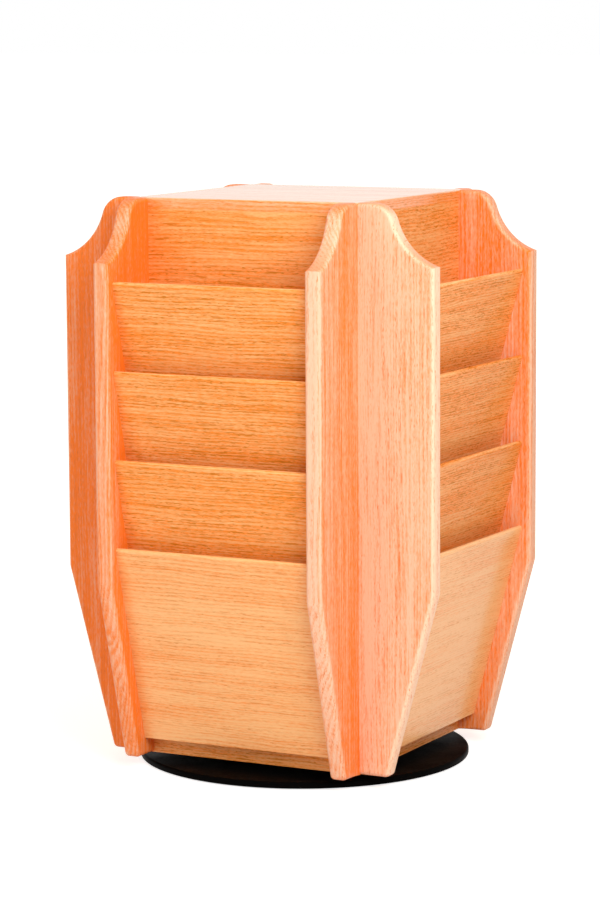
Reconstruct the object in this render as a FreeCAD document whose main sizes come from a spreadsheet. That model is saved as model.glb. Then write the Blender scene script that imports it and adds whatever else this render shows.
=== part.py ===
import FreeCAD, Part

import math
import os

import Sketcher
from FreeCAD import Placement, Rotation, Vector

# A revolving countertop rack for periodicals. Four bays stand round a square core, and each bay
# holds four pockets whose boards lean outward. The core turns on a square plate bearing above a
# round base board.
#
# Origin: the centre of the footprint, at the height of the table. +Z is up, and the front bay
# faces -Y. Every piece of a bay is drawn in the front bay, then turned about Z to its own bay.
# "Out" means away from the core's face, along -Y in the front bay.

# ---- driving sizes, in millimetres and degrees ----

SIZES = {
    # core
    "core_width": 273.0,            # square core, from face to face
    "rack_height": 614.5,           # foot of the side panels to the top
    "stock_thickness": 19.0,        # side panels, backs and bottom board
    "top_thickness": 12.0,          # top board
    "top_edge_radius": 2.0,         # eased upper edge of the top board
    # outline of a side panel
    "panel_projection": 88.4,       # front edge out from the core's face
    "foot_projection": 33.6,        # foot out from the core's face
    "taper_height": 201.8,          # top of the tapered foot
    "shoulder_height": 548.9,       # top of the straight front edge
    "ogee_flat": 16.0,              # level top before the ogee starts
    "ogee_upper_radius": 25.4,      # convex half of the ogee
    "ogee_lower_radius": 71.4,      # hollow half of the ogee
    "foot_radius": 5.5,             # front corner of the foot
    "edge_bevel": 3.4,              # edges of the side panels that stay in sight
    # pocket boards and pocket floors
    "board_thickness": 6.4,
    "board_length": 227.0,          # along the slope
    "board_angle": 15.0,            # lean from the vertical
    "board_setback": 10.6,          # top of a board behind the panels' front edge
    "lowest_board_top": 237.0,      # above the foot of the side panels
    "board_pitch": 96.1,            # from each board to the next one up
    "dado_depth": 6.0,              # the boards' ends go into the side panels
    "dado_clearance": 0.1,
    "floor_thickness": 12.0,
    "floor_rise": 8.0,              # underside of a floor above the foot of its board
    # base board
    "pad_height": 1.5,
    "pad_radius": 11.0,
    "pad_circle": 158.0,            # radius of the circle on which the pads lie
    "disc_radius": 185.0,
    "disc_thickness": 7.0,
    "disc_bevel": 1.8,              # upper edge
    "access_radius": 9.5,           # hole through which the upper plate is screwed on
    # plate bearing
    "bearing_height": 8.0,
    "plate_side": 152.0,
    "plate_sheet": 1.2,
    "plate_corner": 14.0,
    "plate_bore_radius": 44.0,
    "plate_hole_offset": 66.0,      # screw holes from the plate's centre lines
    "plate_hole_radius": 2.2,
    "race_radius": 56.0,            # circle on which the balls run
    "ball_play": 0.08,              # sideways, between the ball ring and the lips
    "lip_thickness": 2.0,
    "lip_height": 3.4,              # of each plate's lip above its sheet
}

BOARDS_PER_BAY = 4
PLATE_HOLES = 4
PAD_COUNT = 4

QUARTER_TURN = 90.0
BAYS = ("front", "right", "rear", "left")

doc = FreeCAD.newDocument("PeriodicalRack")
sheet = doc.addObject("Spreadsheet::Sheet", "Sizes")
for row, (alias, number) in enumerate(SIZES.items(), start=1):
    sheet.set(f"A{row}", alias)
    sheet.set(f"B{row}", str(number))
    sheet.setAlias(f"B{row}", alias)
doc.recompute()


# ---- a size that is both a number and an expression on the sheet ----

class Dim:
    """A size known as a number, to draw with, and as a sheet expression, to bind with."""

    def __init__(self, value, text):
        self.value = value
        self.text = text

    def _join(self, sign, other, value):
        return Dim(value, f"({self.text} {sign} {as_dim(other).text})")

    def __add__(self, other):
        return self._join("+", other, self.value + as_dim(other).value)

    def __sub__(self, other):
        return self._join("-", other, self.value - as_dim(other).value)

    def __mul__(self, other):
        return self._join("*", other, self.value * as_dim(other).value)

    def __truediv__(self, other):
        return self._join("/", other, self.value / as_dim(other).value)

    def __neg__(self):
        return Dim(-self.value, f"(-{self.text})")


def as_dim(number):
    """A plain number as a Dim; a Dim as it is."""
    return number if isinstance(number, Dim) else Dim(float(number), repr(float(number)))


def size(alias):
    """The driving size of that name."""
    return Dim(SIZES[alias], f"Sizes.{alias}")


def sine(angle):
    return Dim(math.sin(math.radians(angle.value)), f"sin({angle.text})")


def cosine(angle):
    return Dim(math.cos(math.radians(angle.value)), f"cos({angle.text})")


# ---- lines and levels that several pieces share ----

ZERO = as_dim(0.0)
core_face = size("core_width") / 2
stock = size("stock_thickness")
bay_half = core_face - stock                        # half the clear width of a bay
disc_bottom = size("pad_height")
disc_top = disc_bottom + size("disc_thickness")
lower_track = disc_top + size("plate_sheet")
rack_foot = disc_top + size("bearing_height")
upper_track = rack_foot - size("plate_sheet")
ball_radius = (upper_track - lower_track) / 2
rack_top = rack_foot + size("rack_height")
top_underside = rack_top - size("top_thickness")

lean = size("board_angle")
board_out_at_top = size("panel_projection") - size("board_setback")


def across(out):
    """Sketch abscissa, along +Y, of a point that lies out from the core's face."""
    return -(core_face + out)


# ---- sketch helpers ----

def plane(body, role):
    """One of the body's own origin planes or axes."""
    return next(feature for feature in body.Origin.OriginFeatures if feature.Role == role)


def new_body(label, turn=0.0):
    """An empty body, turned about Z to its own bay."""
    body = doc.addObject("PartDesign::Body", label)
    body.Label = label
    body.Placement = Placement(Vector(0, 0, 0), Rotation(Vector(0, 0, 1), turn))
    return body


def new_sketch(body, name, role, offset=None):
    """A sketch on one of the body's origin planes, moved along its normal by offset."""
    sketch = body.newObject("Sketcher::SketchObject", name)
    sketch.AttachmentSupport = [(plane(body, role), "")]
    sketch.MapMode = "FlatFace"
    if offset is not None:
        sketch.AttachmentOffset = Placement(Vector(0, 0, offset.value), Rotation())
        sketch.setExpression("AttachmentOffset.Base.z", offset.text)
    return sketch


def constrain(sketch, kind, *where, to):
    """A dimension in a sketch, bound to the sheet."""
    index = sketch.addConstraint(Sketcher.Constraint(kind, *where, to.value))
    name = f"{kind.lower()}_{index}"
    sketch.renameConstraint(index, name)
    sketch.setExpression(f"Constraints.{name}", to.text)


def pin_point(sketch, edge, end, point):
    """Fixes one end of an edge at a point (two Dims)."""
    constrain(sketch, "DistanceX", edge, end, to=point[0])
    constrain(sketch, "DistanceY", edge, end, to=point[1])


def line(sketch, start, end):
    return sketch.addGeometry(Part.LineSegment(Vector(start[0].value, start[1].value, 0),
                                               Vector(end[0].value, end[1].value, 0)))


def polygon(sketch, points):
    """A closed outline of straight lines through points."""
    edges = [line(sketch, points[i], points[(i + 1) % len(points)]) for i in range(len(points))]
    for i, edge in enumerate(edges):
        sketch.addConstraint(Sketcher.Constraint("Coincident", edge, 2, edges[(i + 1) % len(edges)], 1))
        pin_point(sketch, edge, 1, points[i])
    return edges


def rectangle(sketch, low, high):
    return polygon(sketch, [low, (high[0], low[1]), high, (low[0], high[1])])


def circle(sketch, centre, radius):
    middle = Vector(centre[0].value, centre[1].value, 0)
    index = sketch.addGeometry(Part.Circle(middle, Vector(0, 0, 1), radius.value))
    constrain(sketch, "Radius", index, to=radius)
    pin_point(sketch, index, 3, centre)
    return index


# ---- feature helpers ----

def feature_length(feature, length):
    feature.Length = length.value
    feature.setExpression("Length", length.text)


def pad(body, name, sketch, length, reverse=False, midplane=False):
    feature = body.newObject("PartDesign::Pad", name)
    feature.Profile = sketch
    feature_length(feature, length)
    feature.Reversed = reverse
    feature.Midplane = midplane
    doc.recompute()
    return feature


def pocket(body, name, sketch, length, reverse=False):
    """A cut that must take something away."""
    before = body.Tip.Shape.Volume
    feature = body.newObject("PartDesign::Pocket", name)
    feature.Profile = sketch
    feature_length(feature, length)
    feature.Reversed = reverse
    doc.recompute()
    if feature.Shape.Volume >= before:
        raise ValueError(f"{body.Label}: {name} cuts nothing")
    return feature


def revolve(body, name, sketch, axis_role, kind="PartDesign::Revolution"):
    feature = body.newObject(kind, name)
    feature.Profile = sketch
    feature.ReferenceAxis = (plane(body, axis_role), [""])
    feature.Angle = 360.0
    doc.recompute()
    return feature


def dress(body, kind, name, amount, keep):
    """Rounds or bevels the edges of the body's last feature for which keep(edge) holds."""
    base = body.Tip
    edges = [f"Edge{i}" for i, edge in enumerate(base.Shape.Edges, start=1) if keep(edge)]
    feature = body.newObject(f"PartDesign::{kind}", name)
    feature.Base = (base, edges)
    measure = "Radius" if kind == "Fillet" else "Size"
    setattr(feature, measure, amount.value)
    feature.setExpression(measure, amount.text)
    doc.recompute()
    return feature


def fillet(body, name, radius, keep):
    return dress(body, "Fillet", name, radius, keep)


def bevel(body, name, leg, keep):
    return dress(body, "Chamfer", name, leg, keep)


def polar_pattern(body, name, feature, count):
    """Copies of a feature evenly round Z."""
    pattern = body.newObject("PartDesign::PolarPattern", name)
    pattern.Originals = [feature]
    pattern.Axis = (plane(body, "Z_Axis"), [""])
    pattern.Angle = 360.0
    pattern.Occurrences = count
    body.Tip = pattern
    doc.recompute()
    return pattern


def rising_pattern(body, name, feature, pitch, count):
    """Copies of a feature up Z."""
    pattern = body.newObject("PartDesign::LinearPattern", name)
    pattern.Originals = [feature]
    pattern.Direction = (plane(body, "Z_Axis"), [""])
    feature_length(pattern, pitch * (count - 1))
    pattern.Occurrences = count
    body.Tip = pattern
    doc.recompute()
    return pattern


def lies_along(edge, axis):
    """True for a straight edge along that axis."""
    if not isinstance(edge.Curve, (Part.Line, Part.LineSegment)):
        return False
    return edge.tangentAt(edge.FirstParameter).cross(axis).Length < 1e-6


def lies_at(edge, axis, level):
    """True for an edge all of whose points have that coordinate along the axis."""
    return all(abs(point.dot(axis) - level.value) < 1e-4 for point in edge.discretize(5))


ALONG_X = Vector(1, 0, 0)
ALONG_Z = Vector(0, 0, 1)


# ---- side panels ----

def draw_panel_outline(sketch, rear_outline):
    """The outline of a side panel: tapered foot, straight front edge and ogee shoulder.

    rear_outline lists the corners from the top's rear end down to the foot's rear end.
    """
    upper, lower = size("ogee_upper_radius"), size("ogee_lower_radius")
    foot = (across(size("foot_projection")), rack_foot)
    taper = (across(size("panel_projection")), rack_foot + size("taper_height"))
    shoulder = (across(size("panel_projection")), rack_foot + size("shoulder_height"))
    crest = (across(size("ogee_flat")), rack_top)

    # The hollow arc touches the convex one from outside and ends on the shoulder.
    upper_centre = Vector(crest[0].value, crest[1].value - upper.value, 0)
    end = Vector(shoulder[0].value, shoulder[1].value, 0)
    span = (end - upper_centre).Length
    reach = upper.value + lower.value
    turn = math.acos((reach ** 2 + span ** 2 - lower.value ** 2) / (2 * reach * span))
    heading = math.atan2(end.y - upper_centre.y, end.x - upper_centre.x) - turn
    lower_centre = upper_centre + Vector(math.cos(heading), math.sin(heading), 0) * reach
    back_to_end = end - lower_centre

    convex = sketch.addGeometry(Part.ArcOfCircle(
        Part.Circle(upper_centre, ALONG_Z, upper.value), math.pi / 2, heading % (2 * math.pi)))
    hollow = sketch.addGeometry(Part.ArcOfCircle(
        Part.Circle(lower_centre, ALONG_Z, lower.value),
        math.atan2(back_to_end.y, back_to_end.x), heading - math.pi
        if heading > 0 else heading + math.pi))

    corners = [crest] + rear_outline + [foot, taper, shoulder]
    edges = [line(sketch, corners[i], corners[i + 1]) for i in range(len(corners) - 1)]
    for i, edge in enumerate(edges[1:], start=1):
        sketch.addConstraint(Sketcher.Constraint("Coincident", edges[i - 1], 2, edge, 1))
    for edge, corner in zip(edges, corners):
        pin_point(sketch, edge, 1, corner)
    pin_point(sketch, edges[-1], 2, shoulder)

    sketch.addConstraint(Sketcher.Constraint("Tangent", convex, 1, edges[0], 1))
    sketch.addConstraint(Sketcher.Constraint("Tangent", convex, 2, hollow, 2))
    sketch.addConstraint(Sketcher.Constraint("Coincident", hollow, 1, edges[-1], 2))
    constrain(sketch, "Radius", convex, to=upper)
    constrain(sketch, "Radius", hollow, to=lower)


def draw_board_section(sketch, margin):
    """The section of the lowest pocket board, its upper edge a half round, grown by margin.

    The foot end keeps its place, so that a grown section is the dado for the board.
    """
    half = size("board_thickness") / 2 + margin
    down_out, down_up = -sine(lean), -cosine(lean)
    thick_out, thick_up = -cosine(lean), sine(lean)
    crown_out = board_out_at_top - cosine(lean) * (size("board_thickness") / 2)
    crown_up = rack_foot + size("lowest_board_top")
    slope = size("board_length") - size("board_thickness") / 2

    def point(along, through):
        """A point down the slope from the crown's centre and through the board's thickness."""
        return (across(crown_out + down_out * along + thick_out * through),
                crown_up + down_up * along + thick_up * through)

    front_top, back_top = point(ZERO, -half), point(ZERO, half)
    front_foot, back_foot = point(slope + margin, -half), point(slope + margin, half)
    back = line(sketch, back_top, back_foot)
    foot = line(sketch, back_foot, front_foot)
    front = line(sketch, front_foot, front_top)
    centre = point(ZERO, ZERO)
    crown = sketch.addGeometry(Part.ArcOfCircle(
        Part.Circle(Vector(centre[0].value, centre[1].value, 0), ALONG_Z, half.value),
        math.radians(lean.value), math.radians(lean.value) + math.pi))
    sketch.addConstraint(Sketcher.Constraint("Coincident", back, 2, foot, 1))
    sketch.addConstraint(Sketcher.Constraint("Coincident", foot, 2, front, 1))
    sketch.addConstraint(Sketcher.Constraint("Tangent", crown, 1, back, 1))
    sketch.addConstraint(Sketcher.Constraint("Coincident", crown, 2, front, 2))
    pin_point(sketch, back, 1, back_top)
    pin_point(sketch, back, 2, back_foot)
    pin_point(sketch, front, 1, front_foot)
    pin_point(sketch, front, 2, front_top)


def side_panel(label, turn, side, wide):
    """One solid side panel.

    side is +1 for the right-hand panel of a bay and -1 for the left-hand one. The wide panel runs
    on behind the core's face as the core's corner, under the top board, and the next bay's
    narrow panel is glued to it there.
    """
    body = new_body(label, turn)
    inner_face = bay_half if side > 0 else -bay_half
    if wide:
        rear = [(across(ZERO), rack_top), (across(ZERO), top_underside),
                (across(-stock), top_underside), (across(-stock), rack_foot)]
    else:
        rear = [(across(ZERO), rack_top), (across(ZERO), rack_foot)]
    outline = new_sketch(body, f"{label}_outline", "YZ_Plane", inner_face)
    draw_panel_outline(outline, rear)
    pad(body, f"{label}_board", outline, stock, reverse=side < 0)

    front_limit = across(ZERO).value - 1.0
    faces = (inner_face, inner_face + stock * side)
    fillet(body, f"{label}_foot_corner", size("foot_radius"),
           lambda edge: lies_along(edge, ALONG_X) and lies_at(edge, ALONG_Z, rack_foot)
           and edge.CenterOfMass.y < front_limit)
    bevel(body, f"{label}_bevels", size("edge_bevel"),
          lambda edge: any(lies_at(edge, ALONG_X, face) for face in faces)
          and edge.CenterOfMass.y < front_limit)

    dado = new_sketch(body, f"{label}_dado_outline", "YZ_Plane", inner_face)
    draw_board_section(dado, size("dado_clearance"))
    cut = pocket(body, f"{label}_dado", dado, size("dado_depth"), reverse=side > 0)
    rising_pattern(body, f"{label}_dadoes", cut, size("board_pitch"), BOARDS_PER_BAY)
    return body


# ---- the boards of a bay ----

def upright_slab(label, turn, low, high, width):
    """A board upright on the YZ plane between two corners, centred across the bay."""
    body = new_body(label, turn)
    sketch = new_sketch(body, f"{label}_outline", "YZ_Plane")
    rectangle(sketch, low, high)
    pad(body, f"{label}_board", sketch, width, midplane=True)
    return body


def bay_back(label, turn):
    """The back board of a bay, between the core's corners and under the top board."""
    return upright_slab(label, turn, (across(ZERO), rack_foot), (across(-stock), top_underside),
                        bay_half * 2)


def pocket_board(label, turn, step):
    """A pocket board, its ends in the side panels' dadoes; step counts up from the lowest."""
    body = new_body(label, turn)
    sketch = new_sketch(body, f"{label}_section", "YZ_Plane")
    draw_board_section(sketch, ZERO)
    length = (bay_half + size("dado_depth") - size("dado_clearance")) * 2
    pad(body, f"{label}_board", sketch, length, midplane=True)
    lift(body, step)
    return body


def pocket_floor(label, turn, step):
    """The floor of a pocket, wedged between the core's face and the back of its board."""
    foot_out = board_out_at_top - sine(lean) * size("board_length")
    foot_up = (rack_foot + size("lowest_board_top") + size("board_thickness") / 2 * sine(lean) * -1
               - cosine(lean) * (size("board_length") - size("board_thickness") / 2))
    tangent = sine(lean) / cosine(lean)

    def board_back_at(rise):
        """How far out the board's back face lies at a height above the board's foot."""
        return (foot_out + sine(lean) * (size("board_thickness") / 2) + tangent * rise
                - size("board_thickness") / cosine(lean))

    low, high = size("floor_rise"), size("floor_rise") + size("floor_thickness")
    body = new_body(label, turn)
    sketch = new_sketch(body, f"{label}_section", "YZ_Plane")
    polygon(sketch, [(across(ZERO), foot_up + low), (across(board_back_at(low)), foot_up + low),
                     (across(board_back_at(high)), foot_up + high), (across(ZERO), foot_up + high)])
    pad(body, f"{label}_board", sketch, bay_half * 2, midplane=True)
    lift(body, step)
    return body


def lift(body, step):
    """Raises a body by whole pitches of the pocket boards."""
    rise = size("board_pitch") * step
    body.Placement.Base = Vector(0, 0, rise.value)
    body.setExpression("Placement.Base.z", rise.text)


def build_bay(index, bay):
    """All the wood of one bay."""
    turn = QUARTER_TURN * index
    parts = [
        bay_back(f"{bay}_bay_back", turn),
        side_panel(f"{bay}_bay_left_panel", turn, side=-1, wide=False),
        side_panel(f"{bay}_bay_right_panel", turn, side=1, wide=True),
    ]
    for number in range(1, BOARDS_PER_BAY + 1):
        step = BOARDS_PER_BAY - number
        parts.append(pocket_board(f"{bay}_bay_board_{number}", turn, step))
        parts.append(pocket_floor(f"{bay}_bay_floor_{number}", turn, step))
    return parts


# ---- top and bottom of the core ----

def square_slab(label, half, bottom, thickness):
    """A level square board about the axis."""
    body = new_body(label)
    sketch = new_sketch(body, f"{label}_outline", "XY_Plane", bottom)
    rectangle(sketch, (-half, -half), (half, half))
    pad(body, f"{label}_board", sketch, thickness)
    return body


def top_board():
    body = square_slab("top_board", core_face, top_underside, size("top_thickness"))
    fillet(body, "top_board_edges", size("top_edge_radius"),
           lambda edge: lies_at(edge, ALONG_Z, rack_top))
    return body


def bottom_board():
    """The board that carries the bearing."""
    return square_slab("bottom_board", bay_half, rack_foot, stock)


# ---- base board ----

def base_disc():
    body = new_body("base_disc")
    sketch = new_sketch(body, "base_disc_outline", "XY_Plane", disc_bottom)
    circle(sketch, (ZERO, ZERO), size("disc_radius"))
    pad(body, "base_disc_board", sketch, size("disc_thickness"))
    bevel(body, "base_disc_edge", size("disc_bevel"),
          lambda edge: lies_at(edge, ALONG_Z, disc_top))
    access = new_sketch(body, "base_disc_access_outline", "XY_Plane", disc_top)
    # The access hole comes under each upper screw in turn as the rack is turned.
    circle(access, (ZERO, size("plate_hole_offset") * math.sqrt(2)), size("access_radius"))
    pocket(body, "base_disc_access", access, size("disc_thickness"))
    return body


def base_pads():
    """Rubber pads under the base board, a group of like pieces."""
    body = new_body("base_pads")
    sketch = new_sketch(body, "base_pads_outline", "XY_Plane")
    diagonal = size("pad_circle") / math.sqrt(2)
    circle(sketch, (diagonal, diagonal), size("pad_radius"))
    first = pad(body, "base_pads_first", sketch, size("pad_height"))
    polar_pattern(body, "base_pads_all", first, PAD_COUNT)
    return body


# ---- plate bearing ----

def bearing_plate(label, sheet_bottom, lip_inner, lip_bottom):
    """A square sheet with a bore, four screw holes and a round lip that guides the balls."""
    body = new_body(label)
    half = size("plate_side") / 2
    sheet_top = sheet_bottom + size("plate_sheet")
    sketch = new_sketch(body, f"{label}_outline", "XY_Plane", sheet_bottom)
    rectangle(sketch, (-half, -half), (half, half))
    pad(body, f"{label}_sheet", sketch, size("plate_sheet"))
    fillet(body, f"{label}_corners", size("plate_corner"), lambda edge: lies_along(edge, ALONG_Z))

    lip = new_sketch(body, f"{label}_lip_section", "XZ_Plane")
    rectangle(lip, (lip_inner, lip_bottom),
              (lip_inner + size("lip_thickness"), lip_bottom + size("lip_height")))
    revolve(body, f"{label}_lip", lip, "Z_Axis")

    bore = new_sketch(body, f"{label}_bore_outline", "XY_Plane", sheet_top)
    circle(bore, (ZERO, ZERO), size("plate_bore_radius"))
    pocket(body, f"{label}_bore", bore, size("plate_sheet"))
    hole_outline = new_sketch(body, f"{label}_hole_outline", "XY_Plane", sheet_top)
    offset = size("plate_hole_offset")
    circle(hole_outline, (offset, offset), size("plate_hole_radius"))
    hole = pocket(body, f"{label}_hole", hole_outline, size("plate_sheet"))
    polar_pattern(body, f"{label}_holes", hole, PLATE_HOLES)
    return body


def bearing_plates():
    """The lower plate's lip holds the ball ring from outside, the upper plate's from inside."""
    reach = ball_radius + size("ball_play")
    lower = bearing_plate("bearing_lower_plate", disc_top, size("race_radius") + reach,
                          lower_track)
    upper = bearing_plate("bearing_upper_plate", upper_track,
                          size("race_radius") - reach - size("lip_thickness"),
                          upper_track - size("lip_height"))
    return [lower, upper]


def bearing_ball_ring():
    """The balls and their cage as one plain ring, as wide and as high as a ball."""
    body = new_body("bearing_ball_ring")
    sketch = new_sketch(body, "bearing_ball_ring_section", "XZ_Plane")
    rectangle(sketch, (size("race_radius") - ball_radius, lower_track),
              (size("race_radius") + ball_radius, upper_track))
    revolve(body, "bearing_ball_ring_band", sketch, "Z_Axis")
    return body


def build_base_and_bearing():
    return [base_disc(), base_pads(), *bearing_plates(), bearing_ball_ring()]


# ---- build, check and write ----

def check(parts):
    """Stops at any object that failed and any sub-part without a sound shape."""
    for item in doc.Objects:
        if "Invalid" in item.State or "Error" in item.State:
            raise ValueError(f"{item.Name} failed: {item.State}")
    for part in parts:
        if part.Shape.isNull() or not part.Shape.isValid():
            raise ValueError(f"{part.Label} has no valid shape")


def write(parts):
    os.makedirs("parts", exist_ok=True)
    for part in parts:
        part.Shape.exportStep(f"parts/{part.Label}.step")


all_parts = build_base_and_bearing()
all_parts += [bottom_board(), top_board()]
for bay_index, bay_name in enumerate(BAYS):
    all_parts += build_bay(bay_index, bay_name)
doc.recompute()
check(all_parts)
write(all_parts)
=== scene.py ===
"""Looks of a revolving countertop rack for periodicals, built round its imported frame.

Four bays of slanting pocket boards stand between ogee-shouldered side panels of solid oak. The
rack turns on a square plate bearing above a round black base board. Everything is in metres, +Z
is up, and the front bay faces -Y.
"""

import logging
import math
import random
from dataclasses import dataclass, field, replace
from enum import Enum
from typing import Any, Optional, Sequence

import bmesh
import bpy
from mathutils import Matrix, Vector


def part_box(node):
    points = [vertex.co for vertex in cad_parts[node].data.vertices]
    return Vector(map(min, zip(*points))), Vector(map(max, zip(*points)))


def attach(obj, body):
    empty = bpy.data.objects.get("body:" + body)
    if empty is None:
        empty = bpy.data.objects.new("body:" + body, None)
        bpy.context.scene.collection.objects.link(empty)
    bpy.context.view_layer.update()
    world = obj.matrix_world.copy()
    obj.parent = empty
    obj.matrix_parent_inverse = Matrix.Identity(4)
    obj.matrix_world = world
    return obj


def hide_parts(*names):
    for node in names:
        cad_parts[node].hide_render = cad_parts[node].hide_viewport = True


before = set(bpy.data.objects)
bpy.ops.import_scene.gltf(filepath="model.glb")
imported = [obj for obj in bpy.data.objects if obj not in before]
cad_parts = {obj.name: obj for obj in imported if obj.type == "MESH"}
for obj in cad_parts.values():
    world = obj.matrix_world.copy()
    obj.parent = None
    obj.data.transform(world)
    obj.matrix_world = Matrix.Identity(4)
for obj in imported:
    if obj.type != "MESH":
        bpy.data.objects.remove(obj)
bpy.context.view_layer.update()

LOG = logging.getLogger("periodical_rack")
MM = 0.001
FULL_TURN = 2 * math.pi
CREASE = math.radians(28)       # faces that meet at more than this keep a sharp edge
ROUND_CREASE = math.radians(60)  # the same for small balls
PARALLEL = 1e-4                 # sine below which two directions count as one
WELD = 1e-7                     # corners nearer than this are joined
POCKETS = 4                     # in each bay
NOISE_RANGE = (0.3, 0.7)        # where most of a noise lies

Triple = tuple[float, float, float]
Colour = Triple
Point2 = tuple[float, float]
Piece = bpy.types.Object
Socket = bpy.types.NodeSocket
Shape = bmesh.types.BMesh
EVEN: Triple = (0.0, 0.0, 0.0)
WHITE: Colour = (1.0, 1.0, 1.0)


# ---- options ----

class Bay(Enum):
    """A bay of the rack, with its turn about Z from the front bay, in quarter turns."""

    FRONT = 0
    RIGHT = 1
    REAR = 2
    LEFT = 3

    @property
    def label(self) -> str:
        """The bay's name as the frame's nodes have it."""
        return f"{self.name.lower()}_bay"

    @property
    def faces_y(self) -> bool:
        """True for the bays that face along Y."""
        return self.value % 2 == 0

    @property
    def turn(self) -> Matrix:
        """The turn that takes the front bay to this one."""
        return Matrix.Rotation(FULL_TURN / 4 * self.value, 4, "Z")


class Side(Enum):
    """A side of a bay, as seen by someone who stands in front of it."""

    LEFT = -1
    RIGHT = 1

    @property
    def label(self) -> str:
        """The side's name as the frame's nodes have it."""
        return self.name.lower()


class Grain(Enum):
    """Which of a piece's axes run across its face, through it and along its grain."""

    UPRIGHT_FACING_X = "YXZ"
    UPRIGHT_FACING_Y = "XYZ"
    LEVEL_FACING_X = "ZXY"
    LEVEL_FACING_Y = "ZYX"
    FLAT = "YZX"


class Radiance(Enum):
    """Strengths of the surroundings, to the rays that show them and as a light."""

    SEEN = 1.0
    LIGHTING = 0.42


# ---- node trees ----

@dataclass(frozen=True)
class Noise:
    """Noise, by its cells per metre along each axis and its octaves."""

    cells: Triple
    octaves: float = 2.0
    strength: float = 0.5       # of each octave to the one before


class Graph:
    """A node tree with short ways to fill it."""

    def __init__(self, tree: bpy.types.NodeTree) -> None:
        """Takes the tree of a material, world, group or modifier, and clears it."""
        self.tree = tree
        tree.nodes.clear()

    def put(self, kind: str, inputs: Optional[dict[Any, Any]] = None, **settings: Any) -> bpy.types.Node:
        """Adds a node.

        Args:
            kind: The node's type name.
            inputs: Values or output sockets for its inputs, by name or number.
            **settings: The node's own properties.

        Returns:
            The new node.
        """
        node = self.tree.nodes.new(kind)
        for name, value in settings.items():
            setattr(node, name, value)
        for key, value in (inputs or {}).items():
            if isinstance(value, Socket):
                self.tree.links.new(value, node.inputs[key])
            else:
                node.inputs[key].default_value = value
        return node

    def maths(self, operation: str, *terms: Any, clamp: bool = False) -> Socket:
        """The result of a Math node on numbers or sockets."""
        node = self.put("ShaderNodeMath", dict(enumerate(terms)), operation=operation, use_clamp=clamp)
        return node.outputs[0]

    def vector(self, operation: str, *terms: Any) -> Socket:
        """The result of a Vector Math node, which is a number for a length or a dot product."""
        node = self.put("ShaderNodeVectorMath", dict(enumerate(terms)), operation=operation)
        return node.outputs["Value" if operation in ("LENGTH", "DOT_PRODUCT") else "Vector"]

    def noise(self, point: Socket, kind: Noise, output: str = "Fac") -> Socket:
        """Noise of about 0 to 1.

        Args:
            point: Where it is read.
            kind: Its cells and octaves.
            output: Fac for one number, or Color for three.

        Returns:
            The noise.
        """
        scaled = self.vector("MULTIPLY", point, kind.cells)
        node = self.put("ShaderNodeTexNoise", {"Vector": scaled, "Scale": 1.0,
                                               "Detail": kind.octaves, "Roughness": kind.strength})
        return node.outputs[output]

    def spread(self, value: Any, low: float, high: float, to_low: float = 0.0, to_high: float = 1.0,
               smooth: bool = True) -> Socket:
        """A number carried from one range to another, and held at its ends.

        Args:
            value: The number or its socket.
            low: Start of its range.
            high: End of its range.
            to_low: What the start becomes.
            to_high: What the end becomes.
            smooth: Whether it leaves and reaches the ends gently.

        Returns:
            The number in its new range.
        """
        node = self.put("ShaderNodeMapRange",
                        {"Value": value, "From Min": low, "From Max": high, "To Min": to_low,
                         "To Max": to_high},
                        interpolation_type="SMOOTHSTEP" if smooth else "LINEAR")
        return node.outputs["Result"]

    def blend(self, share: Any, first: Any, second: Any) -> Socket:
        """Two colours or vectors, mixed by the share of the second."""
        node = self.put("ShaderNodeMix", {0: share, 6: first, 7: second}, data_type="RGBA")
        return node.outputs[2]


def rgba(colour: Colour, scale: float = 1.0) -> tuple[float, float, float, float]:
    """A colour as a socket takes it, lightened or darkened by scale."""
    return (colour[0] * scale, colour[1] * scale, colour[2] * scale, 1.0)


def new_material(name: str) -> tuple[bpy.types.Material, Graph]:
    """An empty node material.

    Args:
        name: Its name.

    Returns:
        The material and its graph.
    """
    material = bpy.data.materials.new(name)
    material.use_nodes = True
    return material, Graph(material.node_tree)


# ---- finishes ----

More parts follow.
